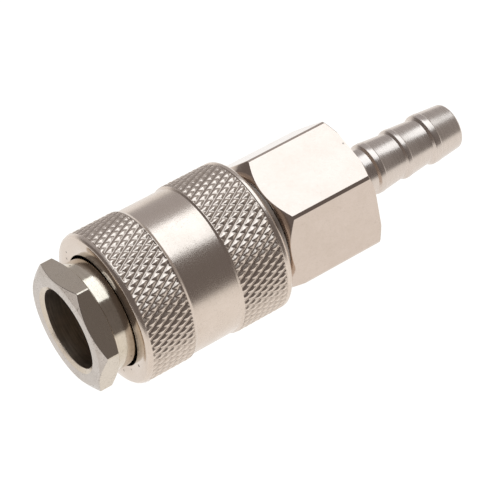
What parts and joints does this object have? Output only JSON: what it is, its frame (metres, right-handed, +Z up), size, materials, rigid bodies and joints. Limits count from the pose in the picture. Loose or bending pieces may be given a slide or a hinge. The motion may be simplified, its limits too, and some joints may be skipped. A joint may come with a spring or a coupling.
{
  "type": "quick-release air coupling",
  "caption": "Automatic quick-release air coupling socket with a knurled locking sleeve, hexagonal flange and body, and a barbed hose tail.",
  "frame": {"origin": "on the coupling's axis, half way along its length, at the centre of its bounding box", "axes": "+X along the axis towards the hose tail, so the socket mouth faces -X; +Z up; the hexagons are turned about X as in the picture"},
  "size_m": [0.07, 0.024, 0.024],
  "materials": {
    "nickel_plated_steel": "satin nickel plate",
    "nickel_plated_brass": "satin nickel plate over brass",
    "ball_steel": "polished",
    "washer_steel": "zinc plate",
    "spring_steel": "drawn wire",
    "brass": "turned",
    "nitrile_rubber": "moulded"
  },
  "bodies": {
    "socket": {"socket_body": "nickel_plated_steel", "hose_body": "nickel_plated_brass", "spring_seat_washer": "washer_steel", "valve_seat_ring": "brass", "body_o_ring": "nitrile_rubber", "sleeve_spring": "spring_steel", "valve_spring": "spring_steel"},
    "valve": {"valve_piston": "brass", "plug_face_seal": "nitrile_rubber", "piston_o_ring": "nitrile_rubber", "valve_head_seal": "nitrile_rubber", "valve_head": "brass", "valve_nut": "washer_steel"},
    "slider": {"sleeve_thrust_washer": "washer_steel"},
    "sleeve": {"locking_sleeve": "nickel_plated_steel"},
    "ball_1": {"locking_ball_1": "ball_steel"},
    "ball_2": {"locking_ball_2": "ball_steel"},
    "ball_3": {"locking_ball_3": "ball_steel"},
    "ball_4": {"locking_ball_4": "ball_steel"},
    "ball_5": {"locking_ball_5": "ball_steel"},
    "ball_6": {"locking_ball_6": "ball_steel"}
  },
  "joints": [
    {"name": "valve_slide", "type": "slide", "parent": "socket", "child": "valve", "axis": [1, 0, 0], "range_m": [0, 0.004], "stiffness_N_per_m": 900, "springref_m": -0.006, "deforming": ["valve_spring"]},
    {"name": "sleeve_slide", "type": "slide", "parent": "socket", "child": "slider", "axis": [-1, 0, 0], "range_m": [0, 0.0028], "deforming": ["sleeve_spring"]},
    {"name": "sleeve_spin", "type": "hinge", "parent": "slider", "child": "sleeve", "pos_m": [-0.0162, 0, 0], "axis": [1, 0, 0], "continuous": true},
    {"name": "ball_1_slide", "type": "slide", "parent": "socket", "child": "ball_1", "axis": [0, 0, -1], "range_m": [0, 0.00115]},
    {"name": "ball_2_slide", "type": "slide", "parent": "socket", "child": "ball_2", "axis": [0, 0.866, -0.5], "range_m": [0, 0.00115]},
    {"name": "ball_3_slide", "type": "slide", "parent": "socket", "child": "ball_3", "axis": [0, 0.866, 0.5], "range_m": [0, 0.00115]},
    {"name": "ball_4_slide", "type": "slide", "parent": "socket", "child": "ball_4", "axis": [0, 0, 1], "range_m": [0, 0.00115]},
    {"name": "ball_5_slide", "type": "slide", "parent": "socket", "child": "ball_5", "axis": [0, -0.866, 0.5], "range_m": [0, 0.00115]},
    {"name": "ball_6_slide", "type": "slide", "parent": "socket", "child": "ball_6", "axis": [0, -0.866, -0.5], "range_m": [0, 0.00115]}
  ],
  "couplings": [
    {"joint": "sleeve_slide", "follows": "valve_slide", "ratio": 0.7},
    {"joint": "ball_1_slide", "follows": "valve_slide", "ratio": 0.2875},
    {"joint": "ball_2_slide", "follows": "valve_slide", "ratio": 0.2875},
    {"joint": "ball_3_slide", "follows": "valve_slide", "ratio": 0.2875},
    {"joint": "ball_4_slide", "follows": "valve_slide", "ratio": 0.2875},
    {"joint": "ball_5_slide", "follows": "valve_slide", "ratio": 0.2875},
    {"joint": "ball_6_slide", "follows": "valve_slide", "ratio": 0.2875}
  ]
}
